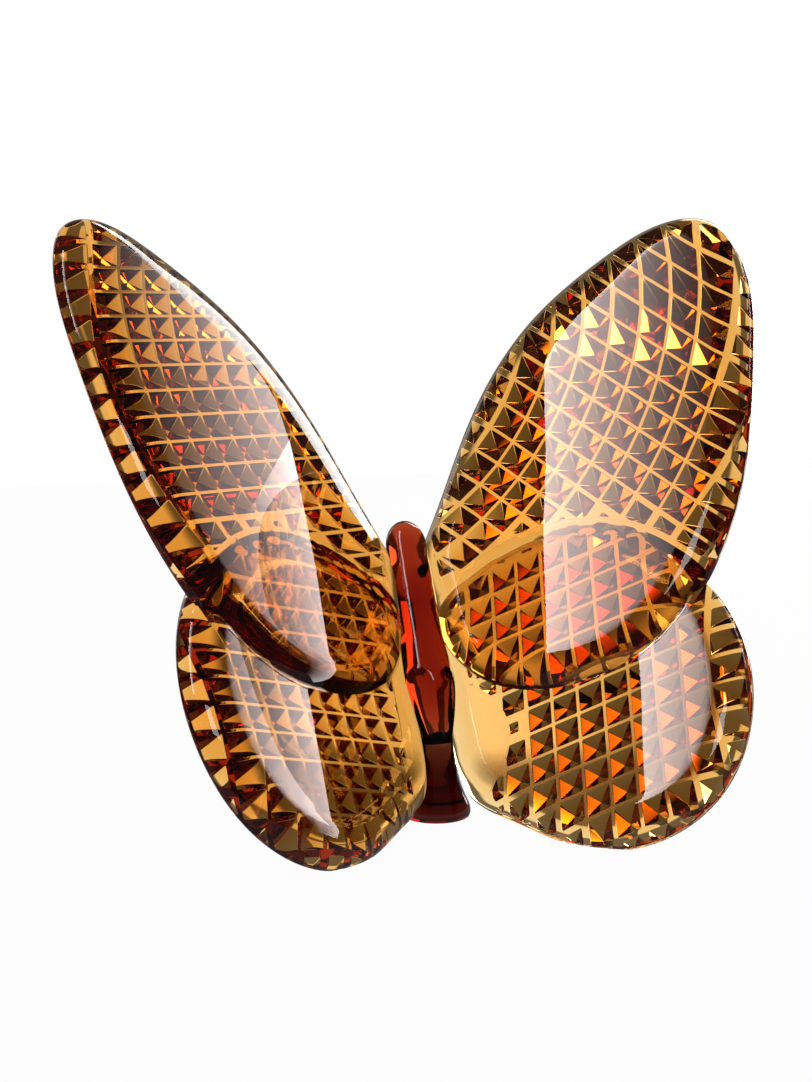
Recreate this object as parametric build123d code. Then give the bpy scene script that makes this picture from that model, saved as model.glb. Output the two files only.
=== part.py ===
from build123d import *
import math
import os

# Cut-glass butterfly that stands on a small flared foot and on the lower rims of its hindwings.
# Millimetres, +Z up, the butterfly faces -Y. The origin is the centre of the foot's flat face.

# Stance: the wing-root line leans back from upright and each wing folds forward from it
LEAN = 41.5
FOLD = 34.1
ROOT_Y = -7.2
ROOT_Z = -0.1

# Wing plates: thickness, crowned front, rounded edges, and the hindwing's step behind the forewing
WING_THICK = 4.4
CROWN_RISE = 0.4
CROWN_RADIUS = 600.0
FRONT_ROUND = 1.8
BACK_ROUND = 1.45
HIND_STEP = 1.7
BOND_GAP = 0.05

# Outlines in the wing's own plane: s runs out from the root line, t runs up along it.
# Each starts at the upper end of the root and goes round the wing to the lower end.
FORE_OUTLINE = [
    (2.0, 31.2), (4.1, 35.8), (11.6, 48.0), (20.4, 56.5), (30.0, 60.9), (36.8, 62.2), (42.2, 60.0),
    (44.3, 54.5), (42.5, 41.5), (38.6, 29.6), (32.8, 19.4), (23.5, 12.0), (14.0, 11.4), (7.0, 14.7),
    (3.9, 19.4),
]
HIND_OUTLINE = [
    (2.0, 25.4), (8.3, 28.9), (16.5, 30.0), (25.2, 26.7), (31.1, 19.4), (33.1, 10.6), (31.6, 2.2),
    (26.8, -4.3), (19.1, -6.9), (12.0, -5.0), (5.8, 0.1), (2.3, 4.4), (1.2, 9.0),
]
FORE_CROWN_AT = (24.0, 36.0)
HIND_CROWN_AT = (18.0, 8.0)
# Points that carry an outline inwards to the rim or outwards to a seat
OFFSET_STEPS = 24
# Both plates run on past the root line, to be trimmed by the body
ROOT_OVERRUN = 3.0
# The wing's front is rounded over beside the body, down to a shelf that the body lies on
ROOT_SHELF_TO = 3.2
ROOT_SHELF_ABOVE_MIDDLE = 0.1

# Diamond-point cutting on the backs: V-grooves with a narrow flat bottom, inside a plain rim
GROOVE_DEPTH = 1.35
GROOVE_FLAT = 0.55
PEAK_BELOW_RIM = 0.05
RIM = 2.0
LAP_LAND = 0.9
ROOT_MARGIN = 4.2
# The hindwing's field also stops at a round, beside its smooth inner margin
HIND_MARGIN_CENTRE = (0.5, 10.5)
HIND_MARGIN_RADIUS = 6.8
FORE_ROW_PITCH = 2.9
FORE_RING_PITCH = 3.25
HIND_PITCH = 2.75
# Each lattice is laid out from one crossing of its grooves. The forewings have straight rows crossed
# by rings about a centre outside the wing; the hindwings have straight rows and straight columns.
RIGHT_FORE_NODE = (31.3, 48.8)
RIGHT_FORE_ROWS = -55.6
RIGHT_FORE_CENTRE = (-6.0, 63.0)
LEFT_FORE_NODE = (32.8, 44.8)
LEFT_FORE_ROWS = -23.4
LEFT_FORE_CENTRE = (-2.0, 52.0)
RIGHT_HIND_NODE = (19.7, 3.8)
RIGHT_HIND_ROWS = 3.6
RIGHT_HIND_COLUMNS = 81.5
LEFT_HIND_NODE = (24.9, 3.0)
LEFT_HIND_ROWS = -10.4
LEFT_HIND_COLUMNS = 77.2

# Body: a turned spindle in the bottom of the V, with a spine behind it that the wings butt against.
# The spindle stands a little more upright than the wing roots; its lengths run from the tail.
BODY_LEAN = 35.0
TAIL_Y = -0.4
TAIL_Z = 8.3
TAIL_RADIUS = 1.6
HIP_AT = 6.2
HIP_RADIUS = 2.75
THORAX_FROM = 10.4
THORAX_RADIUS = 2.35
HEAD_FROM = 22.0
HEAD_RADIUS = 2.15
BODY_LENGTH = 24.8
# Two flats on the abdomen's front, turned to either side and tapering to the tail
FLAT_TURN = 30.0
FLAT_TAPER = 12.0
FLAT_FROM_AXIS = 1.3
SPINE_WIDTH = 2.4
SPINE_BEHIND = 1.2
SPINE_FROM = 11.0
SPINE_TO = 31.0
SPINE_FRONT = 2.0

# Foot: a flared stem with a rounded rim, and the peg that holds it in the abdomen
FOOT_RADIUS = 3.6
FOOT_RIM_HEIGHT = 1.3
FOOT_RIM_ROUND = 0.6
FOOT_WAIST_RADIUS = 2.35
FOOT_WAIST_AT = 4.2
NECK_RADIUS = 1.65
NECK_Y = -0.6
FOOT_TOP = 9.6
PEG_RADIUS = 0.8
PEG_ABOVE_TAIL = 3.2
PEG_BELOW_TAIL = 1.6

HALF = WING_THICK / 2
# Longer than anything in the object, for cutting tools that pass right through
REACH = 100.0
LEAN_ANGLE = math.radians(LEAN)
FOLD_ANGLE = math.radians(FOLD)
ROOT = Vector(0, ROOT_Y, ROOT_Z)
UP_ROOT = Vector(0, math.sin(LEAN_ANGLE), math.cos(LEAN_ANGLE))
FORWARD = Vector(0, -math.cos(LEAN_ANGLE), math.sin(LEAN_ANGLE))
OUTWARD = Vector(math.cos(FOLD_ANGLE), 0, 0) + FORWARD * math.sin(FOLD_ANGLE)
FACING = Vector(-math.sin(FOLD_ANGLE), 0, 0) + FORWARD * math.cos(FOLD_ANGLE)
WING_PLANE = Plane(origin=ROOT, x_dir=OUTWARD, z_dir=FACING)
SPINE_PLANE = Plane(origin=ROOT, x_dir=(1, 0, 0), z_dir=UP_ROOT)
BODY_AXIS = Vector(0, 0, 1).rotate(Axis.X, -BODY_LEAN)
BODY_PLANE = Plane(origin=(0, TAIL_Y, TAIL_Z), x_dir=(1, 0, 0), z_dir=BODY_AXIS)


def outline(points, grow=0.0):
    """A wing's outline, closed behind the root line; grow moves its edge out, or in if negative."""
    edge = Spline(*points)
    if grow:
        steps = [index / OFFSET_STEPS for index in range(OFFSET_STEPS + 1)]
        edge = Spline(*[edge @ step + (edge % step).rotate(Axis.Z, 90) * grow for step in steps])
    top, bottom = edge @ 0, edge @ 1
    closing = Polyline(bottom, (-ROOT_OVERRUN, bottom.Y), (-ROOT_OVERRUN, top.Y), top)
    return make_face(edge + closing)


def plate(points, crown_at, level, grow=0.0):
    """A wing plate with a crowned front and rounded edges; grow swells it all over for a seat."""
    top = level + HALF + CROWN_RISE + grow
    thick = WING_THICK + CROWN_RISE + 2 * grow
    blank = Pos(0, 0, level - HALF - grow) * extrude(outline(points, grow), amount=thick)
    blank = blank & Pos(*crown_at, top - CROWN_RADIUS) * Sphere(CROWN_RADIUS)
    solid = blank.solid()
    front = solid.faces().sort_by(Axis.Z)[-1].edges().filter_by(lambda edge: edge.center().X > 0)
    solid = solid.fillet(FRONT_ROUND + grow, front)
    back = solid.faces().sort_by(Axis.Z)[0].edges().filter_by(lambda edge: edge.center().X > 0)
    return solid.fillet(BACK_ROUND + grow, back)


def ridges(pitch, first, last, peak):
    """Profile of side-by-side V-grooves: everything behind it is ground away."""
    points = []
    for index in range(first, last + 1):
        middle = index * pitch
        points.append((middle - pitch / 2, peak))
        points.append((middle - GROOVE_FLAT / 2, peak + GROOVE_DEPTH))
        points.append((middle + GROOVE_FLAT / 2, peak + GROOVE_DEPTH))
    points.append((last * pitch + pitch / 2, peak))
    points.append((last * pitch + pitch / 2, peak - WING_THICK))
    points.append((first * pitch - pitch / 2, peak - WING_THICK))
    return make_face(Polyline(*points, close=True))


def straight_grooves(node, direction, pitch, peak):
    """Parallel grooves at the given direction in degrees, one of them through the node."""
    angle = math.radians(direction)
    along = (math.cos(angle), math.sin(angle), 0)
    across = (-math.sin(angle), math.cos(angle), 0)
    count = math.ceil(REACH / pitch)
    section = Plane(origin=(*node, 0), x_dir=across, z_dir=along) * ridges(pitch, -count, count, peak)
    return extrude(section, amount=REACH, both=True)


def ring_grooves(node, centre, pitch, peak):
    """Grooves struck as rings about one centre, one of them through the node."""
    radius = (Vector(node) - Vector(centre)).length
    inner = 1 - math.floor(radius / pitch)
    outer = math.ceil(REACH / pitch)
    section = Pos(radius, 0) * ridges(pitch, inner, outer, peak)
    axis_plane = Plane(origin=(*centre, 0), x_dir=(1, 0, 0), z_dir=(0, -1, 0))
    return revolve(axis_plane * section, Axis((*centre, 0), (0, 0, 1)))


def beyond_margin():
    """The part of the wing's plane that lies further out than the root margin."""
    return Pos(ROOT_MARGIN + REACH / 2, 0) * Rectangle(REACH, 2 * REACH)


def round_root(wing, level):
    """Rounds the wing's front over beside the body, down to the shelf that the body lies on."""
    radius = HALF - ROOT_SHELF_ABOVE_MIDDLE
    corner = Pos(radius - REACH / 2, 0, REACH / 2) * Box(REACH, 2 * REACH, REACH)
    nose = Pos(radius, 0, 0) * Rot(90, 0, 0) * Cylinder(radius, 2 * REACH)
    return wing - Pos(ROOT_SHELF_TO, 0, level + ROOT_SHELF_ABOVE_MIDDLE) * (corner - nose)


def cut_diamonds(wing, field, level, families):
    """Cuts each family of grooves into the back of a wing, inside the given field."""
    well = Pos(0, 0, level - REACH / 2) * extrude(field, amount=REACH / 2)
    for family in families:
        wing = wing - (well & family)
    return wing


def hindwing(node, rows, columns):
    """One hindwing in its own plane, with its back cut in straight rows both ways."""
    level = -HIND_STEP
    peak = level - HALF + PEAK_BELOW_RIM
    wing = round_root(plate(HIND_OUTLINE, HIND_CROWN_AT, level), level)
    field = outline(HIND_OUTLINE, -RIM) & beyond_margin()
    field = field - Pos(*HIND_MARGIN_CENTRE) * Circle(HIND_MARGIN_RADIUS)
    families = [straight_grooves(node, rows, HIND_PITCH, peak),
                straight_grooves(node, columns, HIND_PITCH, peak)]
    return cut_diamonds(wing, field, level, families)


def forewing(node, rows, ring_centre):
    """One forewing in its own plane, lapped over the hindwing and cut in rows and rings."""
    peak = -HALF + PEAK_BELOW_RIM
    wing = round_root(plate(FORE_OUTLINE, FORE_CROWN_AT, 0.0), 0.0)
    wing = wing - plate(HIND_OUTLINE, HIND_CROWN_AT, -HIND_STEP, BOND_GAP)
    field = outline(FORE_OUTLINE, -RIM) & beyond_margin()
    field = field - outline(HIND_OUTLINE, LAP_LAND)
    families = [straight_grooves(node, rows, FORE_ROW_PITCH, peak),
                ring_grooves(node, ring_centre, FORE_RING_PITCH, peak)]
    return cut_diamonds(wing, field, 0.0, families)


def spindle(grow=0.0):
    """The turned body from tail to head; grow swells it for the seats in the pieces round it."""
    tail = (TAIL_RADIUS + grow, -grow)
    hip = (HIP_RADIUS + grow, HIP_AT)
    thorax = (THORAX_RADIUS + grow, THORAX_FROM)
    neck = (HEAD_RADIUS + grow, HEAD_FROM)
    crown = (0, BODY_LENGTH + grow)
    side = Line(thorax, neck)
    flank = Spline(tail, hip, thorax, tangents=[(1, 3), side % 0])
    head = Spline(neck, crown, tangents=[side % 1, (-1, 0)])
    closing = Polyline(crown, (0, -grow), tail)
    profile = make_face(flank + side + head + closing)
    return BODY_PLANE * revolve(Plane.XZ * profile, Axis.Z)


def spine():
    """The bar behind the spindle whose flanks carry the wing roots."""
    deep = SPINE_FRONT + SPINE_BEHIND
    middle = (SPINE_BEHIND - SPINE_FRONT) / 2
    bar = Pos(0, middle, (SPINE_FROM + SPINE_TO) / 2) * Box(SPINE_WIDTH, deep, SPINE_TO - SPINE_FROM)
    return SPINE_PLANE * bar


def stem(grow=0.0):
    """The flared foot before its top is cut to the tail; it leans a little forward as it rises."""
    sections = [(0, FOOT_RADIUS), (FOOT_RIM_HEIGHT, FOOT_RADIUS), (FOOT_WAIST_AT, FOOT_WAIST_RADIUS),
                (FOOT_TOP, NECK_RADIUS)]
    rounds = [Pos(0, NECK_Y * height / FOOT_TOP, height) * Circle(radius + grow)
              for height, radius in sections]
    return loft(rounds)


def peg(grow=0.0):
    """The peg that rises from the foot into the abdomen, along the body's own axis."""
    height = PEG_BELOW_TAIL + PEG_ABOVE_TAIL + grow
    return BODY_PLANE * Pos(0, 0, height / 2 - PEG_BELOW_TAIL) * Cylinder(PEG_RADIUS + grow, height)


def abdomen_flat(turn):
    """What is ground off one side of the abdomen's front; it runs out above the hips."""
    waste = Pos(0, -REACH / 2, 0) * Box(REACH, REACH, REACH)
    return BODY_PLANE * Rot(0, 0, turn) * Pos(0, -FLAT_FROM_AXIS, 0) * Rot(FLAT_TAPER, 0, 0) * waste


def make_body():
    solid = spindle() - abdomen_flat(FLAT_TURN) - abdomen_flat(-FLAT_TURN)
    return solid + spine() - peg(BOND_GAP)


def make_foot():
    solid = stem()
    rim = solid.edges().sort_by(Axis.Z)[0]
    solid = fillet(rim, FOOT_RIM_ROUND)
    above_tail = BODY_PLANE * Pos(0, 0, REACH / 2 - BOND_GAP) * Box(REACH, REACH, REACH)
    return solid - above_tail + peg()


def seat_wing(wing, feet):
    """Turns a wing into place and trims its root to the body, the foot and the table."""
    middle = Pos(SPINE_WIDTH / 2 + BOND_GAP - REACH / 2, 0, 0) * Box(REACH, REACH * 2, REACH * 2)
    table = Pos(0, 0, -REACH / 2) * Box(REACH * 2, REACH * 2, REACH)
    wing = WING_PLANE * wing - middle - spindle(BOND_GAP)
    if feet:
        wing = wing - stem(BOND_GAP) - table
    return wing


def largest(shape):
    """The wing itself, without any crumb that the trimming leaves behind the body."""
    return shape.solids().sort_by(SortBy.VOLUME)[-1]


right_fore = forewing(RIGHT_FORE_NODE, RIGHT_FORE_ROWS, RIGHT_FORE_CENTRE)
left_fore = forewing(LEFT_FORE_NODE, LEFT_FORE_ROWS, LEFT_FORE_CENTRE)
right_hind = hindwing(RIGHT_HIND_NODE, RIGHT_HIND_ROWS, RIGHT_HIND_COLUMNS)
left_hind = hindwing(LEFT_HIND_NODE, LEFT_HIND_ROWS, LEFT_HIND_COLUMNS)
nodes = {
    "body": make_body(),
    "foot": make_foot(),
    "right_forewing": largest(seat_wing(right_fore, False)),
    "left_forewing": mirror(largest(seat_wing(left_fore, False)), about=Plane.YZ),
    "right_hindwing": largest(seat_wing(right_hind, True)),
    "left_hindwing": mirror(largest(seat_wing(left_hind, True)), about=Plane.YZ),
}

os.makedirs("parts", exist_ok=True)
for name, shape in nodes.items():
    export_step(shape, f"parts/{name}.step")
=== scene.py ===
import math

import bmesh
import bpy
import numpy as np
from mathutils import Matrix, Vector
from mathutils.geometry import delaunay_2d_cdt


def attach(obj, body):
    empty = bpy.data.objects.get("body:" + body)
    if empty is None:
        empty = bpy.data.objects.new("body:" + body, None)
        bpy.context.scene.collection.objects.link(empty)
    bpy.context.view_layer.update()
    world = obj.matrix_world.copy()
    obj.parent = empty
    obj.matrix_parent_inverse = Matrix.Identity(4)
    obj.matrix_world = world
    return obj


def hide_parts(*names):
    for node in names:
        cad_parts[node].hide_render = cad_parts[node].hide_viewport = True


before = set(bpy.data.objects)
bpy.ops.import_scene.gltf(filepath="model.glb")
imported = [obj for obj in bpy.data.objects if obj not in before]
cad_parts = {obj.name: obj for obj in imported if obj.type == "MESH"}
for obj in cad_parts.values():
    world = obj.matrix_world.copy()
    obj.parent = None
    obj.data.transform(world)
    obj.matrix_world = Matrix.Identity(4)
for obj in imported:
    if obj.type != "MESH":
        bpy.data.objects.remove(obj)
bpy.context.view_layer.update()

MM = 0.001

# Camera: a short tele lens a little above the ornament and to the left of its middle, set so that the
# outline of the wings falls where the photograph has it.
scene = bpy.context.scene
scene.view_settings.view_transform = "Standard"
scene.cycles.max_bounces = 32
scene.cycles.glossy_bounces = 24
scene.cycles.transmission_bounces = 32
scene.cycles.transparent_max_bounces = 48
CAMERA_AT = Vector((-0.06177, -0.22599, 0.06198))
CAMERA_AIM = Vector((-0.00296, 0.0008, 0.02853))
camera = bpy.data.objects.new("camera", bpy.data.cameras.new("camera"))
camera.location = CAMERA_AT
camera.rotation_euler = (CAMERA_AIM - CAMERA_AT).to_track_quat("-Z", "Y").to_euler()
camera.data.lens = 77.96
camera.data.sensor_width = 36.0
camera.data.clip_start = 0.01
scene.collection.objects.link(camera)
scene.camera = camera


# Studio: a white sweep under and behind the ornament in a dark room. The polished fronts mirror two
# softboxes as pale veils, and three plain panels draw the white lines along the edges.
class Socket:
    """A shader value; arithmetic on it adds Math nodes to its tree."""

    def __init__(self, tree, socket):
        self.tree = tree
        self.socket = socket

    def math(self, operation, other=0.0):
        return make_node(self.tree, "ShaderNodeMath", {"operation": operation}, _0=self, _1=other)[0]

    def __add__(self, other):
        return self.math("ADD", other)

    def __sub__(self, other):
        return self.math("SUBTRACT", other)

    def __rsub__(self, other):
        return self * -1.0 + other

    def __mul__(self, other):
        return self.math("MULTIPLY", other)

    __radd__ = __add__
    __rmul__ = __mul__


def make_node(tree, kind, settings=None, **inputs):
    """Adds a node and feeds its inputs by name, or by place as _0, _1 and so on; gives its outputs."""
    node = tree.nodes.new(kind)
    for key, value in (settings or {}).items():
        setattr(node, key, value)
    for key, value in inputs.items():
        target = node.inputs[int(key[1:]) if key.startswith("_") else key.replace("_", " ")]
        if isinstance(value, Socket):
            tree.links.new(value.socket, target)
        else:
            target.default_value = value
    return [Socket(tree, output) for output in node.outputs]


def new_material(name):
    material = bpy.data.materials.new(name)
    material.use_nodes = True
    material.node_tree.nodes.clear()
    return material, material.node_tree


def stage_sheet(name, corners, material):
    mesh = bpy.data.meshes.new(name)
    mesh.from_pydata([tuple(corner) for corner in corners], [], [(0, 1, 2, 3)])
    mesh.materials.append(material)
    sheet = bpy.data.objects.new(name, mesh)
    scene.collection.objects.link(sheet)
    return sheet


def sweep_material(name, glow):
    """White in the camera's view. In the glass it is lit along a lane behind the ornament and dim beside
    it, so that the straight view through the glass is bright and the facets stay dark."""
    material, tree = new_material(name)
    x, y, z = make_node(tree, "ShaderNodeSeparateXYZ", _0=make_node(tree, "ShaderNodeTexCoord")[3])
    lit = 1.0
    for inside in (x - y * LANE_LEFT[1] - LANE_LEFT[0], y * LANE_RIGHT[1] - x + LANE_RIGHT[0],
                   y - LANE_FRONT, LANE_TOP - z):
        lit = lit * make_node(tree, "ShaderNodeMapRange", {"interpolation_type": "SMOOTHSTEP"}, _0=inside,
                              _1=-LANE_EDGE, _2=LANE_EDGE, _3=0.0, _4=1.0)[0]
    rays = make_node(tree, "ShaderNodeLightPath")
    camera_ray, glossy_ray, through_ray = rays[0], rays[3], rays[6]
    share = (camera_ray * glow).math("MAXIMUM", glossy_ray.math("MAXIMUM", through_ray))
    strength = camera_ray + (1.0 - camera_ray) * (lit * (LANE_LEVEL - SIDE_LEVEL) + SIDE_LEVEL)
    paper = make_node(tree, "ShaderNodeBsdfDiffuse", Color=(0.86, 0.86, 0.86, 1))[0]
    light = make_node(tree, "ShaderNodeEmission", Color=(1, 1, 1, 1), Strength=strength)[0]
    mixed = make_node(tree, "ShaderNodeMixShader", _0=share, _1=paper, _2=light)[0]
    make_node(tree, "ShaderNodeOutputMaterial", Surface=mixed)
    return material


def softbox(name, edge_at, along, rise, width, height, radiance, fading, color):
    """A lamp panel whose light fades away from its first edge."""
    edge_at, along, rise = (np.array(v) for v in (edge_at, along, rise))
    start, end = edge_at - along * width / 2, edge_at + along * width / 2
    material, tree = new_material(name)
    across = make_node(tree, "ShaderNodeSeparateXYZ", _0=make_node(tree, "ShaderNodeTexCoord")[2])[1]
    glow = (1.0 - across).math("POWER", fading) * radiance
    lamp = make_node(tree, "ShaderNodeEmission", Color=(*color, 1), Strength=glow)[0]
    make_node(tree, "ShaderNodeOutputMaterial", Surface=lamp)
    panel = stage_sheet(name, [start, end, end + rise * height, start + rise * height], material)
    layer = panel.data.uv_layers.new(name="panel")
    for corner, uv in zip(layer.data, ((0, 0), (1, 0), (1, 1), (0, 1))):
        corner.uv = uv
    panel.visible_camera = False


SWEEP_HALF = 0.22
SWEEP_FRONT = -0.09
SWEEP_BACK = 0.30
SWEEP_TOP = 0.25
LANE_LEFT = (-0.045, 0.20)
LANE_RIGHT = (0.020, 0.45)
LANE_FRONT = 0.022
LANE_TOP = 0.055
LANE_EDGE = 0.008
LANE_LEVEL = 1.2
SIDE_LEVEL = 0.2
FLOOR_GLOW = 0.97
stage_sheet("floor", [(-SWEEP_HALF, SWEEP_FRONT, 0), (SWEEP_HALF, SWEEP_FRONT, 0),
                      (SWEEP_HALF, SWEEP_BACK, 0), (-SWEEP_HALF, SWEEP_BACK, 0)],
            sweep_material("white_table", FLOOR_GLOW))
backdrop = stage_sheet("backdrop", [(side * SWEEP_HALF, SWEEP_BACK, height) for side, height in
                                    ((-1, 0), (1, 0), (1, SWEEP_TOP), (-1, SWEEP_TOP))],
                       sweep_material("white_paper", 1.0))
backdrop.visible_camera = False

ROOM = 0.05
world = bpy.data.worlds.new("studio")
world.use_nodes = True
room_tree = world.node_tree
room_tree.nodes.clear()
room_level = make_node(room_tree, "ShaderNodeLightPath")[0] * (1.0 - ROOM) + ROOM
room = make_node(room_tree, "ShaderNodeBackground", Color=(1, 1, 1, 1), Strength=room_level)[0]
make_node(room_tree, "ShaderNodeOutputWorld", Surface=room)
scene.world = world

ROSY = (1.0, 0.86, 0.84)
WHITE = (1.0, 1.0, 1.0)
VEIL_FADING = 1.8
VEIL_RADIANCE = 6.5
softbox("left_softbox", (-0.291, -0.016, 0.428), (-0.427, -0.71, -0.56), (0.593, -0.687, 0.42),
        width=0.34, height=0.09, radiance=2 * VEIL_RADIANCE, fading=VEIL_FADING, color=ROSY)
softbox("right_softbox", (0.406, 0.145, 0.262), (0.401, -0.719, -0.568), (-0.174, -0.669, 0.723),
        width=0.30, height=0.085, radiance=VEIL_RADIANCE, fading=VEIL_FADING, color=ROSY)
softbox("rear_panel", (0.285, 0.36, 0.0), (0.78, -0.62, 0.0), (-0.2, -0.25, 0.95),
        width=0.30, height=0.34, radiance=6.0, fading=0.0, color=WHITE)
softbox("side_panel", (-0.13, 0.27, 0.0), (0.9, 0.43, 0.0), (0.0, 0.0, 1.0),
        width=0.12, height=0.16, radiance=1.0, fading=0.0, color=WHITE)
softbox("front_softbox", (-0.10, -0.38, 0.33), (1, 0, 0), (0, 0.5, 0.86),
        width=0.14, height=0.14, radiance=5.0, fading=0.0, color=WHITE)

# Fill lamp: a small lamp low in the V of the wings, turned to the left pair. Their polish mirrors it
# where the right pair would hide the softbox; it lights nothing else. Its energy makes the strength in
# its nodes the radiance.
FILL_AT = (0.02007, -0.00558, 0.03318)
FILL_ALONG = (0.0, 0.6626, 0.749)
FILL_RISE = (0.8281, -0.4199, 0.3715)
FILL_BEHIND = (0.5606, 0.6202, -0.5487)
FILL_WIDTH = 0.062
FILL_HEIGHT = 0.024
fill = bpy.data.lights.new("fill_lamp", "AREA")
fill.shape = "RECTANGLE"
fill.size = FILL_WIDTH
fill.size_y = FILL_HEIGHT
fill.energy = 4 * FILL_WIDTH * FILL_HEIGHT
fill.use_nodes = True
fill_tree = fill.node_tree
fill_tree.nodes.clear()
fill_spot = make_node(fill_tree, "ShaderNodeNewGeometry")[5]
fill_across = make_node(fill_tree, "ShaderNodeSeparateXYZ", _0=fill_spot)[1]
fill_glow = (1.0 - fill_across).math("POWER", VEIL_FADING) * VEIL_RADIANCE
fill_light = make_node(fill_tree, "ShaderNodeEmission", Color=(*ROSY, 1), Strength=fill_glow)[0]
make_node(fill_tree, "ShaderNodeOutputLight", Surface=fill_light)
fill_lamp = bpy.data.objects.new("fill_lamp", fill)
fill_lamp.matrix_world = Matrix((FILL_ALONG, FILL_RISE, FILL_BEHIND)).transposed().to_4x4()
fill_lamp.location = FILL_AT
fill_lamp.visible_camera = False
fill_lamp.visible_transmission = False
fill_lamp.visible_diffuse = False
scene.collection.objects.link(fill_lamp)


# Crystal: lead glass coloured amber right through, pressed in a mould and fire polished. The deeper
# the glass that light crosses, the redder it turns. Cement lines are clear, so light crosses them freely.
CRYSTAL_IOR = 1.54
AMBER = (0.90, 0.66, 0.13, 1)
AMBER_DEPTH = 900.0
# Painted shade: the body and foot share a denser, redder copy of the amber. It makes them darker than their
# thickness alone would, to stand for the shade the body lies in at the bottom of the V of the wings.
SHADE_DARKENED_AMBER = (0.78, 0.36, 0.10, 1)
SHADE_DARKENED_AMBER_DEPTH = 1400.0


def crystal(name, color, density):
    """Polished glass with faint mould waves and a breath of haze in its surface."""
    material, tree = new_material(name)
    place = make_node(tree, "ShaderNodeTexCoord")[3]
    waves = make_node(tree, "ShaderNodeTexNoise", Vector=place, Scale=70.0, Detail=0.0)[0]
    haze = make_node(tree, "ShaderNodeTexNoise", Vector=place, Scale=900.0, Detail=3.0)[0]
    ripple = make_node(tree, "ShaderNodeBump", Height=waves, Strength=0.05, Distance=0.001)[0]
    glass = make_node(tree, "ShaderNodeBsdfPrincipled", Base_Color=(1, 1, 1, 1), Roughness=haze * 0.02,
                      IOR=CRYSTAL_IOR, Transmission_Weight=1.0, Normal=ripple)[0]
    inside = make_node(tree, "ShaderNodeVolumeAbsorption", Color=color, Density=density)[0]
    make_node(tree, "ShaderNodeOutputMaterial", Surface=glass, Volume=inside)
    return material


def cement(name, color, density):
    """A bonded face: no reflection, only the coloured glass behind it."""
    material, tree = new_material(name)
    clear = make_node(tree, "ShaderNodeBsdfTransparent", Color=(1, 1, 1, 1))[0]
    inside = make_node(tree, "ShaderNodeVolumeAbsorption", Color=color, Density=density)[0]
    make_node(tree, "ShaderNodeOutputMaterial", Surface=clear, Volume=inside)
    return material


def finish_piece(node, mesh, materials):
    """Makes the object that stands for a CAD node, on the fixed base and in the crystal's slot."""
    for material in materials:
        mesh.materials.append(material)
    piece = bpy.data.objects.new("visual_" + node, mesh)
    scene.collection.objects.link(piece)
    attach(piece, "root")
    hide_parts(node)


# Foot: a small flared stem, turned from one rod with a rounded rim, ground flat below. Its top is cut
# square to the leaning body and cemented under the tail.
# The rod pieces take the denser copy of the amber, so their extra darkness is painted shade.
ROD = [crystal("shade_darkened_amber_crystal", SHADE_DARKENED_AMBER, SHADE_DARKENED_AMBER_DEPTH),
       cement("shade_darkened_amber_cement", SHADE_DARKENED_AMBER, SHADE_DARKENED_AMBER_DEPTH)]
BODY_LEAN = math.radians(35.0)
TAIL = np.array((0.0, -0.4, 8.3))
FOOT_SECTIONS = [(0.0, 3.0), (0.06, 3.25), (0.2, 3.45), (0.55, 3.55), (1.1, 3.5), (2.4, 2.95), (4.2, 2.3),
                 (6.2, 1.85), (8.3, 1.6)]
FOOT_UPRIGHT_TO = 3.0
ROD_SIDES = 96
ROD_CREASE = math.radians(40)


def smooth_curve(stops, at):
    """Values at the given places on a smooth curve through (place, value) stops."""
    x, y = np.array(stops, float).T
    slope = np.gradient(y, x)
    k = np.clip(np.searchsorted(x, at) - 1, 0, len(x) - 2)
    step = x[k + 1] - x[k]
    u = (at - x[k]) / step
    ends = y[k] * (1 + 2 * u) * (1 - u) ** 2 + y[k + 1] * u ** 2 * (3 - 2 * u)
    return ends + step * (slope[k] * u * (1 - u) ** 2 - slope[k + 1] * u ** 2 * (1 - u))


def rod_mesh(name, rings, bonded_start, bonded_end):
    """A closed skin over rings of points in millimetres; a bonded end takes the second material."""
    mesh = bpy.data.meshes.new(name)
    count = len(rings[0])
    faces = [(start + i, start + (i + 1) % count, start + count + (i + 1) % count, start + count + i)
             for start in range(0, (len(rings) - 1) * count, count) for i in range(count)]
    faces.append(tuple(reversed(range(count))))
    faces.append(tuple(range((len(rings) - 1) * count, len(rings) * count)))
    mesh.from_pydata([tuple(p * MM) for ring in rings for p in ring], [], faces)
    mesh.shade_smooth()
    mesh.polygons[-2].material_index = int(bonded_start)
    mesh.polygons[-1].material_index = int(bonded_end)
    work = bmesh.new()
    work.from_mesh(mesh)
    bmesh.ops.recalc_face_normals(work, faces=work.faces)
    work.to_mesh(mesh)
    work.free()
    mesh.set_sharp_from_angle(angle=ROD_CREASE)
    return mesh


turn = np.linspace(0, 2 * math.pi, ROD_SIDES, endpoint=False)
rings = []
for height in np.concatenate([[s[0] for s in FOOT_SECTIONS[:4]], np.linspace(0.8, TAIL[2], 24)]):
    radius = smooth_curve(FOOT_SECTIONS, np.array([height]))[0]
    part = max(0.0, (height - FOOT_UPRIGHT_TO) / (TAIL[2] - FOOT_UPRIGHT_TO))
    lean = BODY_LEAN * part * part * (3 - 2 * part)
    middle = TAIL * (height / TAIL[2])
    rings.append(np.column_stack([radius * np.cos(turn), middle[1] + radius * np.sin(turn) * math.cos(lean),
                                  height - radius * np.sin(turn) * math.sin(lean)]))
finish_piece("foot", rod_mesh("foot", rings, False, True), ROD)

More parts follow.
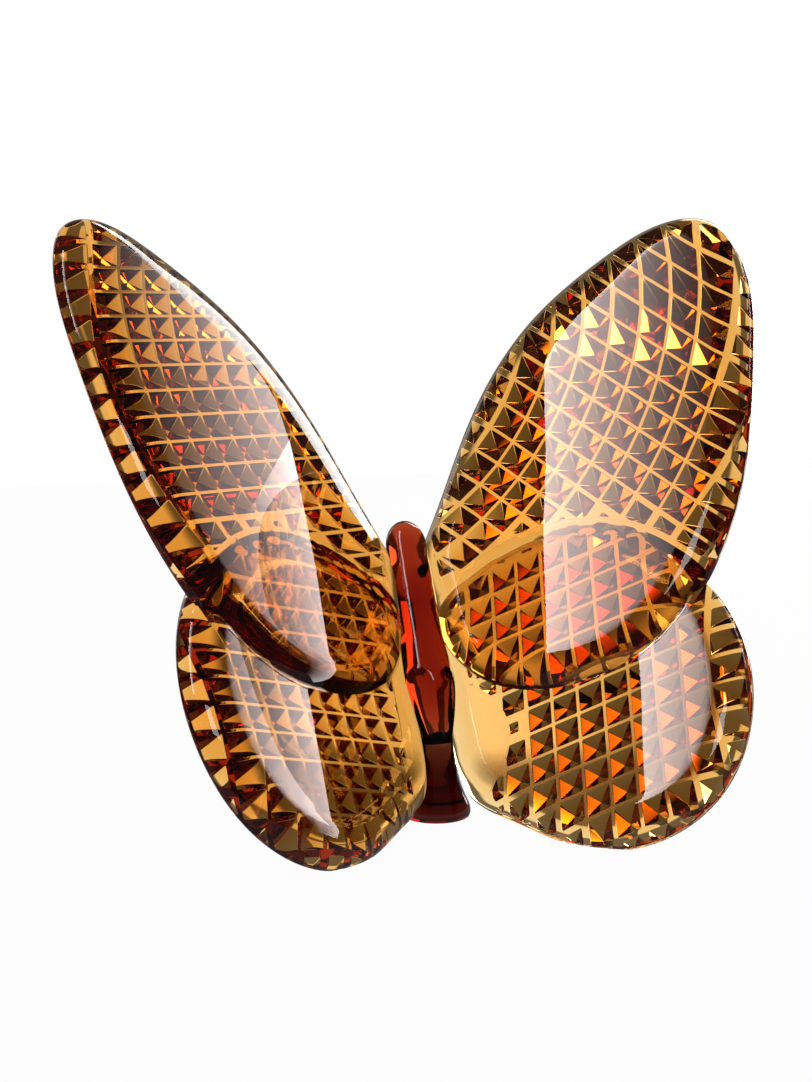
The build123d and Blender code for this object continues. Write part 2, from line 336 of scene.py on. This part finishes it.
# Body: a turned rod that lies in the bottom of the V of the wings, from tail over hips and thorax to a
# round head, with two flats ground on the abdomen. A spine along its back carries the wing roots.
FLANK = [(0.0, 1.6), (3.0, 2.35), (6.2, 2.75), (8.4, 2.55), (10.4, 2.35), (16.0, 2.25), (22.0, 2.15)]
HEAD_FROM = 22.0
BODY_LENGTH = 24.8
FLAT_TURN = math.radians(30.0)
FLAT_TAPER = math.tan(math.radians(12.0))
FLAT_FROM_AXIS = 1.3
SPINE_HALF = 1.2
SPINE_BACK = 1.676
SPINE_SPREAD = 0.113
SPINE_ENDS = [(0.0, 0.0), (0.5, 0.0), (3.5, 1.0), (16.5, 1.0), (20.3, 0.0), (22.0, 0.0)]


def spine_depth(height):
    """How far the spine's back lies behind the rod's own axis; it leans back more than the rod."""
    return SPINE_BACK + SPINE_SPREAD * height


rings = []
head_steps = HEAD_FROM + (BODY_LENGTH - HEAD_FROM) * np.sin(np.linspace(0, math.pi / 2 - 0.05, 14)[1:])
for height in np.concatenate([np.linspace(0, HEAD_FROM, 64), head_steps]):
    if height <= HEAD_FROM:
        radius = smooth_curve(FLANK, np.array([height]))[0]
    else:
        radius = FLANK[-1][1] * math.sqrt(1 - ((height - HEAD_FROM) / (BODY_LENGTH - HEAD_FROM)) ** 2)
    reach = np.full(ROD_SIDES, radius)
    for side in (-1, 1):
        facing = np.cos(turn + math.pi / 2 - side * FLAT_TURN)
        flat = (FLAT_FROM_AXIS + height * FLAT_TAPER) / np.maximum(facing, 1e-6)
        reach = np.where(facing > 0, np.minimum(reach, flat), reach)
    if height <= HEAD_FROM:
        behind = np.maximum(np.sin(turn), 1e-6)
        beside = np.maximum(np.abs(np.cos(turn)), 1e-6)
        bar = np.minimum(spine_depth(height) / behind, SPINE_HALF / beside)
        grown = np.interp(height, *np.array(SPINE_ENDS).T)
        reach += np.where(np.sin(turn) > 0.3, np.maximum(bar - reach, 0.0), 0.0) * grown
    across, back = reach * np.cos(turn), reach * np.sin(turn)
    rings.append(np.column_stack([
        across, TAIL[1] + height * math.sin(BODY_LEAN) + back * math.cos(BODY_LEAN),
        TAIL[2] + height * math.cos(BODY_LEAN) - back * math.sin(BODY_LEAN)]))
finish_piece("body", rod_mesh("body", rings, True, False), ROD)

# Hindwings: thick plates with a polished, faintly crowned front and a rounded edge. The backs are cut
# in diamond points right out to the edge; a smooth margin is left beside the body.
WING = [crystal("amber_crystal", AMBER, AMBER_DEPTH), cement("amber_cement", AMBER, AMBER_DEPTH)]
LEAN = math.radians(41.5)
FOLD = math.radians(34.1)
ROOT = Vector((0, -7.2, -0.1))
UP_ROOT = Vector((0, math.sin(LEAN), math.cos(LEAN)))
FORWARD = Vector((0, -math.cos(LEAN), math.sin(LEAN)))
OUTWARD = Vector((math.cos(FOLD), 0, 0)) + FORWARD * math.sin(FOLD)
FACING = Vector((-math.sin(FOLD), 0, 0)) + FORWARD * math.cos(FOLD)
HALF = 2.2
CROWN_RISE = 0.4
CROWN_RADIUS = 600.0
WAIST = -0.3
EDGE_TRIM = 0.2
EDGE_INSETS = (0.0, 0.02, 0.08, 0.18, 0.32, 0.5, 0.72, 1.0, 1.35, 1.75, 2.2)
BACK_ROUND = 0.4
BACK_STEPS = 5
FRONT_GRID = 0.6
BACK_GRID = 1.6
GROOVE_DEPTH = 1.35
PEAK_BELOW = 0.05
LIP = 0.08
RIM = 0.85
VALLEY = 0.26
RIDGE_FLAT = 0.12
FIELD_STEPS = 120
FIELD_REACH = 60.0
FIELD_STRIDE = 0.5
GAP = 0.05
HIND_LEVEL = -1.7
HIND_PILLOW = 3.5
HIND_POINTS = [
    (4.4, 27.1), (8.3, 28.9), (16.5, 30.0), (25.2, 26.7), (31.1, 19.4), (33.1, 10.6), (31.6, 2.2),
    (26.8, -4.3), (19.1, -6.9), (12.0, -5.0), (5.6, 0.1), (1.7, 4.2), (0.7, 9.0), (0.7, 17.0), (1.5, 23.5),
]
HIND_MARGIN = (0.5, 10.5)
HIND_MARGIN_RADIUS = {1: 6.8, -1: 3.8}
ROOT_MARGIN = 4.2
HIND_PITCH = 2.75
WING_CREASE = math.radians(24)
SKIN_CLEAR = 0.3
SEAT_CLEAR = 0.03
NOWHERE = -99.0
LINE_COUNTS = np.arange(-30, 31)
LINE_HALF = 45.0
SLIVER = 0.08
CORNER_COSINE = 0.85
POINT_TIP = 0.04
# The forewing's outline stands here because it marks off the bonded part of the hindwing's front.
FORE_POINTS = [
    (1.5, 31.0), (4.0, 35.8), (11.6, 48.0), (20.4, 56.5), (30.0, 60.9), (36.8, 62.2), (42.2, 60.0),
    (44.3, 54.5), (42.5, 41.5), (38.6, 29.6), (32.8, 19.4), (23.5, 12.0), (14.0, 11.4), (7.0, 14.7),
    (3.4, 19.4), (1.7, 25.0),
]


def closed_spline(points, count):
    """Even points on a smooth closed curve through the given ones."""
    p = np.array(points, float)
    n = len(p)
    after = np.roll(p, -1, 0) - p
    h = np.linalg.norm(after, axis=1)
    before = np.roll(h, 1)
    system = np.diag(2 * (before + h))
    for i in range(n):
        system[i, (i - 1) % n] += before[i]
        system[i, (i + 1) % n] += h[i]
    slope = after / h[:, None]
    bend = np.linalg.solve(system, 6 * (slope - np.roll(slope, 1, 0)))
    fine = []
    for i in range(n):
        j = (i + 1) % n
        x = np.linspace(0, h[i], 60, endpoint=False)[:, None]
        y = h[i] - x
        fine.append((bend[i] * y ** 3 + bend[j] * x ** 3) / (6 * h[i])
                    + (p[i] / h[i] - bend[i] * h[i] / 6) * y + (p[j] / h[i] - bend[j] * h[i] / 6) * x)
    loop = np.concatenate(fine + [fine[0][:1]])
    along = np.concatenate([[0], np.cumsum(np.linalg.norm(np.diff(loop, axis=0), axis=1))])
    steps = np.linspace(0, along[-1], count, endpoint=False)
    return np.column_stack([np.interp(steps, along, loop[:, k]) for k in (0, 1)])


def inward(loop):
    """Unit normals into a clockwise outline."""
    tangent = np.roll(loop, -1, 0) - np.roll(loop, 1, 0)
    tangent /= np.linalg.norm(tangent, axis=1)[:, None]
    return np.column_stack([tangent[:, 1], -tangent[:, 0]])


def depth_inside(points, loop):
    """Distance of each point from the outline, positive inside."""
    best = np.full(len(points), 1e9)
    inside = np.zeros(len(points), bool)
    for a, b in zip(loop, np.roll(loop, -1, 0)):
        way = b - a
        from_a = points - a
        x = np.clip(from_a @ way / (way @ way), 0, 1)
        best = np.minimum(best, np.hypot(*(from_a - x[:, None] * way).T))
        if a[1] != b[1]:
            crosses = (a[1] > points[:, 1]) != (b[1] > points[:, 1])
            inside ^= crosses & (points[:, 0] < a[0] + from_a[:, 1] * way[0] / way[1])
    return np.where(inside, best, -best)


def front_height(points, depth, level, crown_at, pillow):
    """Height of the polished front: a faint crown that rolls over towards the edge."""
    crown = level + HALF + CROWN_RISE - ((points - crown_at) ** 2).sum(1) / (2 * CROWN_RADIUS)
    x = np.clip((pillow - depth) / pillow, 0, 1)
    return crown - (crown - level - WAIST) * (1 - np.sqrt(1 - x ** 2))


def grid_points(loop, spacing):
    low, high = loop.min(0), loop.max(0)
    rows = np.arange(low[1], high[1], spacing * math.sqrt(3) / 2)
    return np.array([(s + spacing / 2 * (k % 2), t) for k, t in enumerate(rows)
                     for s in np.arange(low[0], high[0], spacing)])


def divide(loops, lines, points, kind):
    """Divides the plane along closed loops and open lines; gives the corners and the faces."""
    corners, edges = [], []
    for line, closed in [(loop, True) for loop in loops] + [(line, False) for line in lines]:
        start = len(corners)
        corners.extend(Vector(p) for p in line)
        edges.extend((start + i, start + i + 1) for i in range(len(line) - 1))
        if closed:
            edges.append((start + len(line) - 1, start))
    corners.extend(Vector(p) for p in points)
    out, _, faces, _, _, _ = delaunay_2d_cdt(corners, edges, [], kind, 1e-5)
    return np.array([tuple(p) for p in out]), [list(face) for face in faces]


def middles(points, faces):
    return np.array([points[face].mean(0) for face in faces])


class Skin:
    """Faces gathered in a wing's own plane, as points (s, t, height), before they become a mesh."""

    def __init__(self):
        self.points, self.faces, self.bonds = [], [], []

    def add(self, points, faces, bonds):
        start = len(self.points)
        self.points.extend(map(tuple, points))
        self.faces.extend(tuple(start + i for i in face) for face in faces)
        self.bonds.extend(bonds)


def nothing(points):
    """The seat of a wing that lies on no other."""
    return np.full(len(points), NOWHERE)


def wing_skin(loop, front, rim, field, other, seat, covered):
    """Front, edge and back of a wing, open where its cut field goes. Other is the outline of the wing
    that it laps, seat the height of what it lies on, and covered tells what of its front is bonded."""
    skin = Skin()
    count = len(loop)
    normal = inward(loop)
    outlines = []
    for inset in reversed(EDGE_INSETS):
        at = loop + normal * inset
        outlines.append((at, np.maximum(front(at, np.full(count, inset)), seat(at) + SEAT_CLEAR)))
    waist = outlines[-1][1].copy()
    for step in range(1, BACK_STEPS + 1):
        angle = math.pi / 2 * step / BACK_STEPS
        at = loop + normal * BACK_ROUND * (1 - math.cos(angle))
        outlines.append((at, np.maximum(waist - (waist - rim) * math.sin(angle), seat(at))))
    for step, ((a, high), (b, low)) in enumerate(zip(outlines, outlines[1:])):
        points = np.vstack([np.column_stack([a, high]), np.column_stack([b, low])])
        faces = [[i, (i + 1) % count, count + (i + 1) % count, count + i] for i in range(count)]
        middle = middles(points, faces)
        on_front = step < len(EDGE_INSETS) - 1
        bonds = covered(middle[:, :2], middle[:, 2]) if on_front else seat(middle[:, :2]) > rim
        skin.add(points, faces, bonds)
    first, last = outlines[0][0], outlines[-1][0]
    grid = grid_points(first, FRONT_GRID)
    grid = grid[depth_inside(grid, first) > SKIN_CLEAR]
    flat, faces = divide([first], runs_inside(other, first), grid, 1)
    middle = middles(flat, faces)
    kept = depth_inside(middle, first) > 0
    high = np.maximum(front(flat, depth_inside(flat, loop)), seat(flat) + SEAT_CLEAR)
    bonds = covered(middle, front(middle, depth_inside(middle, loop)))
    skin.add(np.column_stack([flat, high]), [f for f, k in zip(faces, kept) if k], bonds[kept])
    grid = grid_points(last, BACK_GRID)
    grid = grid[(depth_inside(grid, last) > 0.5) & (depth_inside(grid, field) < -0.4)]
    seams = runs_inside(other, last) if seat is not nothing else []
    flat, faces = divide([last, field], seams, grid, 1)
    middle = middles(flat, faces)
    kept = (depth_inside(middle, last) > 0) & (depth_inside(middle, field) < 0)
    skin.add(np.column_stack([flat, np.maximum(rim, seat(flat))]), [f for f, k in zip(faces, kept) if k],
             (seat(middle) > rim)[kept])
    return skin


def field_loop(inside, centre):
    """Walks out from the centre in every direction to the edge of the cut field."""
    angles = -np.linspace(0, 2 * math.pi, FIELD_STEPS, endpoint=False)
    rays = np.column_stack([np.cos(angles), np.sin(angles)])
    far = np.full(FIELD_STEPS, FIELD_REACH)
    for r in np.arange(FIELD_REACH, 0.0, -FIELD_STRIDE):
        far = np.where(inside(centre + rays * r) <= 0, r, far)
    near = far - FIELD_STRIDE
    for _ in range(24):
        half = (near + far) / 2
        good = inside(centre + rays * half[:, None]) > 0
        near, far = np.where(good, half, near), np.where(good, far, half)
    return centre + rays * near[:, None]


def on_loop(points, loop):
    """Those of the points that lie on the loop, in their order along it."""
    found = []
    for i, (a, b) in enumerate(zip(loop, np.roll(loop, -1, 0))):
        way = b - a
        x = (points - a) @ way / (way @ way)
        off = np.hypot(*(points - a - x[:, None] * way).T)
        lies_on = (off < 1e-4) & (x > -1e-6) & (x < 1 - 1e-6)
        found += [(i + x[k], tuple(points[k])) for k in np.flatnonzero(lies_on)]
    return np.array([point for _, point in sorted(found)])


def runs_inside(line, loop):
    """The stretches of a closed line that lie well inside a loop."""
    deep = depth_inside(line, loop) > SKIN_CLEAR
    if deep.all():
        return [np.vstack([line, line[:1]])]
    start = int(np.flatnonzero(~deep)[0])
    line, deep = np.roll(line, -start, 0), np.roll(deep, -start)
    breaks = np.flatnonzero(np.diff(deep.astype(int))) + 1
    return [run for run, k in zip(np.split(line, breaks), np.split(deep, breaks)) if k[0] and len(run) > 1]


def straight_lines(node, direction, pitch):
    """Groove lines at a direction in degrees, one of them through the node."""
    along = np.array((math.cos(math.radians(direction)), math.sin(math.radians(direction))))
    across = np.array((-along[1], along[0]))
    return [np.array([np.array(node) + across * pitch * k + along * end for end in (-LINE_HALF, LINE_HALF)])
            for k in LINE_COUNTS]


def cell_sheet(name, field, lines, floor):
    """A flat sheet of the cells between the groove lines. Each has a narrow flat round it and an inner
    face with clipped corners, marked to be raised to a diamond point. Gives the sheet's border too."""
    out, faces = divide([field], lines, [], 3)
    border = on_loop(out, field)
    depth = depth_inside(out, field)
    faces = [face for face in faces if len(face) > 2 and depth[face].min() > -1e-3]
    spots, sides, marks = [tuple(p) for p in out], [], []
    for face in faces:
        ring = out[face]
        if ring[:, 0] @ np.roll(ring[:, 1], -1) > ring[:, 1] @ np.roll(ring[:, 0], -1):
            face = face[::-1]
            ring = out[face]
        count = len(face)
        centre = ring.mean(0)
        after = np.roll(ring, -1, 0) - ring
        long = np.linalg.norm(after, axis=1)
        to_edge = np.abs(after[:, 0] * (centre - ring)[:, 1] - after[:, 1] * (centre - ring)[:, 0]) / long
        if to_edge.min() < SLIVER:
            sides.append(tuple(face))
            marks.append(False)
            continue
        inner = centre + (ring - centre) * max(0.3, 1 - VALLEY / 2 / to_edge.min())
        firsts, lasts = [], []
        for i in range(count):
            bent = after[i - 1] @ after[i] < CORNER_COSINE * long[i - 1] * long[i]
            ends = []
            for other in ((i - 1) % count, (i + 1) % count) if bent else (i,):
                way = inner[other] - inner[i]
                ends.append(len(spots))
                spots.append(tuple(inner[i] + way * min(0.3, RIDGE_FLAT / max(np.linalg.norm(way), 1e-6))))
            firsts.append(ends[0])
            lasts.append(ends[-1])
            if bent:
                sides.append((face[i], ends[1], ends[0]))
        for i in range(count):
            j = (i + 1) % count
            sides.append((face[i], face[j], firsts[j], lasts[i]))
        marks.extend([False] * (len(sides) - len(marks)))
        sides.append(tuple(spot for pair in zip(firsts, lasts) for spot in dict.fromkeys(pair)))
        marks.append(True)
    mesh = bpy.data.meshes.new(name)
    mesh.from_pydata([(*p, floor) for p in spots], [], sides)
    mesh.attributes.new("diamond", "BOOLEAN", "FACE").data.foreach_set("value", marks)
    work = bmesh.new()
    work.from_mesh(mesh)
    bmesh.ops.delete(work, geom=[v for v in work.verts if not v.link_faces], context="VERTS")
    for face in work.faces:
        if face.normal.z > 0:
            face.normal_flip()
    work.to_mesh(mesh)
    work.free()
    return mesh, border


def diamond_tree():
    """Geometry nodes that raise a diamond point with a softened foot on every marked face."""
    tree = bpy.data.node_groups.new("diamond_points", "GeometryNodeTree")
    for name, kind in (("Geometry", "Geometry"), ("Softness", "Float"), ("Height", "Float"),
                       ("Steepness", "Float"), ("Material", "Material")):
        tree.interface.new_socket(name, in_out="INPUT", socket_type="NodeSocket" + kind)
    tree.interface.new_socket("Geometry", in_out="OUTPUT", socket_type="NodeSocketGeometry")
    mesh, softness, height, steepness, paint = make_node(tree, "NodeGroupInput")[:5]
    marked = make_node(tree, "GeometryNodeInputNamedAttribute", {"data_type": "BOOLEAN"}, Name="diamond")[0]
    side = make_node(tree, "GeometryNodeInputMeshFaceArea")[0].math("SQRT")
    stages = ((side * softness, 1.0 - softness * 3.0),
              ((side * steepness).math("MINIMUM", height), POINT_TIP))
    for lift, scale in stages:
        raised = make_node(tree, "GeometryNodeExtrudeMesh", {"mode": "FACES"}, Mesh=mesh, Selection=marked,
                           Offset_Scale=lift, Individual=True)
        mesh = make_node(tree, "GeometryNodeScaleElements", Geometry=raised[0], Selection=raised[1],
                         Scale=scale)[0]
        marked = raised[1]
    mesh = make_node(tree, "GeometryNodeRealizeInstances", Geometry=mesh)[0]
    mesh = make_node(tree, "GeometryNodeSetMaterial", Geometry=mesh, Material=paint)[0]
    make_node(tree, "NodeGroupOutput", Geometry=mesh)
    return tree


DIAMONDS = diamond_tree()


def raise_diamonds(sheet_mesh):
    """Runs the diamond-point nodes on a sheet and gives the finished plain mesh."""
    sheet = bpy.data.objects.new("diamond_sheet", sheet_mesh)
    scene.collection.objects.link(sheet)
    modifier = sheet.modifiers.new("diamonds", "NODES")
    modifier.node_group = DIAMONDS
    values = {"Softness": 0.014, "Height": GROOVE_DEPTH, "Steepness": 0.56, "Material": WING[0]}
    for item in DIAMONDS.interface.items_tree:
        if item.name in values:
            modifier[item.identifier] = values[item.name]
    result = bpy.data.meshes.new_from_object(sheet.evaluated_get(bpy.context.evaluated_depsgraph_get()))
    bpy.data.objects.remove(sheet)
    return result


def round_ridges(mesh):
    """Gives the narrow strips between the facets their wide neighbours' normals, so that each ridge
    and foot of the diamond points looks rounded, as fire polishing leaves it."""
    cut = [p for p in mesh.polygons if not p.use_smooth]
    mesh.set_sharp_from_angle(angle=WING_CREASE)
    widest = np.zeros((len(mesh.vertices), 3))
    for polygon in sorted(cut, key=lambda p: p.area):
        widest[list(polygon.vertices)] = polygon.normal
    normals = np.array([n.vector for n in mesh.corner_normals])
    for polygon in cut:
        normals[list(polygon.loop_indices)] = widest[list(polygon.vertices)]
    mesh.shade_smooth()
    mesh.normals_split_custom_set(normals.tolist())


def build_wing(node, side, skin, sheet_mesh, floor, rim):
    """Closes the skin with its diamond field and turns the wing into place; side -1 mirrors it."""
    work = bmesh.new()
    corners = [work.verts.new(p) for p in skin.points]
    for face, bonded in zip(skin.faces, skin.bonds):
        made = work.faces.new([corners[i] for i in face])
        made.material_index = int(bonded)
        made.smooth = True
    work.from_mesh(raise_diamonds(sheet_mesh))
    border = [e for e in work.edges
              if len(e.link_faces) == 1 and all(abs(v.co.z - floor) < 1e-4 for v in e.verts)]
    feet = list(dict.fromkeys(v for e in border for v in e.verts))
    lifted = {v: work.verts.new((v.co.x, v.co.y, rim)) for v in feet}
    for edge in border:
        a, b = edge.verts
        work.faces.new((a, b, lifted[b], lifted[a]))
    bmesh.ops.remove_doubles(work, verts=work.verts, dist=2e-3)
    bmesh.ops.recalc_face_normals(work, faces=work.faces)
    mesh = bpy.data.meshes.new(node)
    work.to_mesh(mesh)
    work.free()
    mesh.materials.clear()
    turned = Matrix((OUTWARD, UP_ROOT, FACING)).transposed().to_4x4()
    mesh.transform(Matrix.Scale(MM, 4) @ Matrix.Diagonal((side, 1, 1, 1)) @ Matrix.Translation(ROOT) @ turned)
    for vertex in mesh.vertices:
        vertex.co.z = max(vertex.co.z, 0.0)
    if side < 0:
        mesh.flip_normals()
    round_ridges(mesh)
    finish_piece(node, mesh, WING)


fore_loop = closed_spline(FORE_POINTS, 300)
fore_loop += inward(fore_loop) * EDGE_TRIM
hind_loop = closed_spline(HIND_POINTS, 260)
hind_loop += inward(hind_loop) * EDGE_TRIM
FORE_FLOOR = PEAK_BELOW + GROOVE_DEPTH - HALF
FORE_RIM = FORE_FLOOR - LIP
HIND_FLOOR = HIND_LEVEL + FORE_FLOOR
HIND_RIM = HIND_LEVEL + FORE_RIM


def hind_field(side):
    """Above zero where the hindwing's back is cut; the smooth margin is wider on the right."""
    def inside(points):
        from_margin = np.hypot(*(points - HIND_MARGIN).T) - HIND_MARGIN_RADIUS[side]
        return np.minimum.reduce([depth_inside(points, hind_loop) - RIM, points[:, 0] - ROOT_MARGIN,
                                  from_margin])
    return inside


def hind_front(crown_at):
    return lambda points, depth: front_height(points, depth, HIND_LEVEL, crown_at, HIND_PILLOW)


def under_forewing(points, height):
    return (depth_inside(points, fore_loop) > 0) & (height > FORE_RIM)


HIND_CROWNS = {1: (43.0, 8.0), -1: (28.0, 8.0)}
for node, side, cross, rows, columns in (("right_hindwing", 1, (19.7, 3.8), 3.6, 81.5),
                                         ("left_hindwing", -1, (24.9, 3.0), -10.4, 77.2)):
    hind_edge = field_loop(hind_field(side), np.array((19.0, 10.0)))
    lines = straight_lines(cross, rows, HIND_PITCH) + straight_lines(cross, columns, HIND_PITCH)
    sheet_mesh, border = cell_sheet(node + "_cells", hind_edge, lines, HIND_FLOOR)
    skin = wing_skin(hind_loop, hind_front(HIND_CROWNS[side]), HIND_RIM, border, fore_loop, nothing,
                     under_forewing)
    build_wing(node, side, skin, sheet_mesh, HIND_FLOOR, HIND_RIM)

# Forewings: plates like the hindwings, half-lapped over them and cemented down. Their diamond points
# are cut in straight rows crossed by rings, at a different slant on each side.
FORE_CROWN_AT = (24.0, 36.0)
FORE_PILLOW = 3.4
LEADING_PILLOW = 6.0
LAP_LAND = 0.5
FORE_ROW_PITCH = 2.9
FORE_RING_PITCH = 3.25


def fore_front(points, depth):
    """The front rolls over more widely along the leading edge than elsewhere."""
    leading = np.clip((points[:, 1] - 1.2 * points[:, 0] - 12.0) / 10.0, 0, 1)
    pillow = FORE_PILLOW + (LEADING_PILLOW - FORE_PILLOW) * leading ** 2 * (3 - 2 * leading)
    return front_height(points, depth, 0.0, FORE_CROWN_AT, pillow)


def fore_field(points):
    """Above zero where the forewing's back is cut."""
    return np.minimum.reduce([depth_inside(points, fore_loop) - RIM, points[:, 0] - ROOT_MARGIN,
                              -depth_inside(points, hind_loop) - LAP_LAND])


def lap_seat(crown_at):
    """The hindwing's front, a cement gap higher, where the forewing lies on it."""
    def height(points):
        depth = depth_inside(points, hind_loop)
        return np.where(depth > 0, hind_front(crown_at)(points, depth) + GAP, NOWHERE)
    return height


def uncovered(points, height):
    return np.zeros(len(points), bool)


def ring_lines(node, centre, rows):
    """Rings about a centre, one of them through the node, as chords between the rows they cross."""
    along = np.array((math.cos(math.radians(rows)), math.sin(math.radians(rows))))
    across = np.array((-along[1], along[0]))
    from_centre = np.array(node) - centre
    offsets = from_centre @ across + FORE_ROW_PITCH * LINE_COUNTS
    lines = []
    for radius in np.linalg.norm(from_centre) + FORE_RING_PITCH * LINE_COUNTS:
        crossed = offsets[np.abs(offsets) < radius] if radius > 2 else []
        if len(crossed) > 1:
            lines.append(np.array([np.array(centre) + across * c + along * math.sqrt(radius ** 2 - c ** 2)
                                   for c in crossed]))
    return lines


fore_edge = field_loop(fore_field, np.array((25.0, 42.0)))
for node, side, cross, rows, centre in (("right_forewing", 1, (31.3, 48.8), -55.6, (-6.0, 63.0)),
                                        ("left_forewing", -1, (32.8, 44.8), -23.4, (-2.0, 52.0))):
    lines = straight_lines(cross, rows, FORE_ROW_PITCH) + ring_lines(cross, centre, rows)
    sheet_mesh, border = cell_sheet(node + "_cells", fore_edge, lines, FORE_FLOOR)
    skin = wing_skin(fore_loop, fore_front, FORE_RIM, border, hind_loop, lap_seat(HIND_CROWNS[side]),
                     uncovered)
    build_wing(node, side, skin, sheet_mesh, FORE_FLOOR, FORE_RIM)
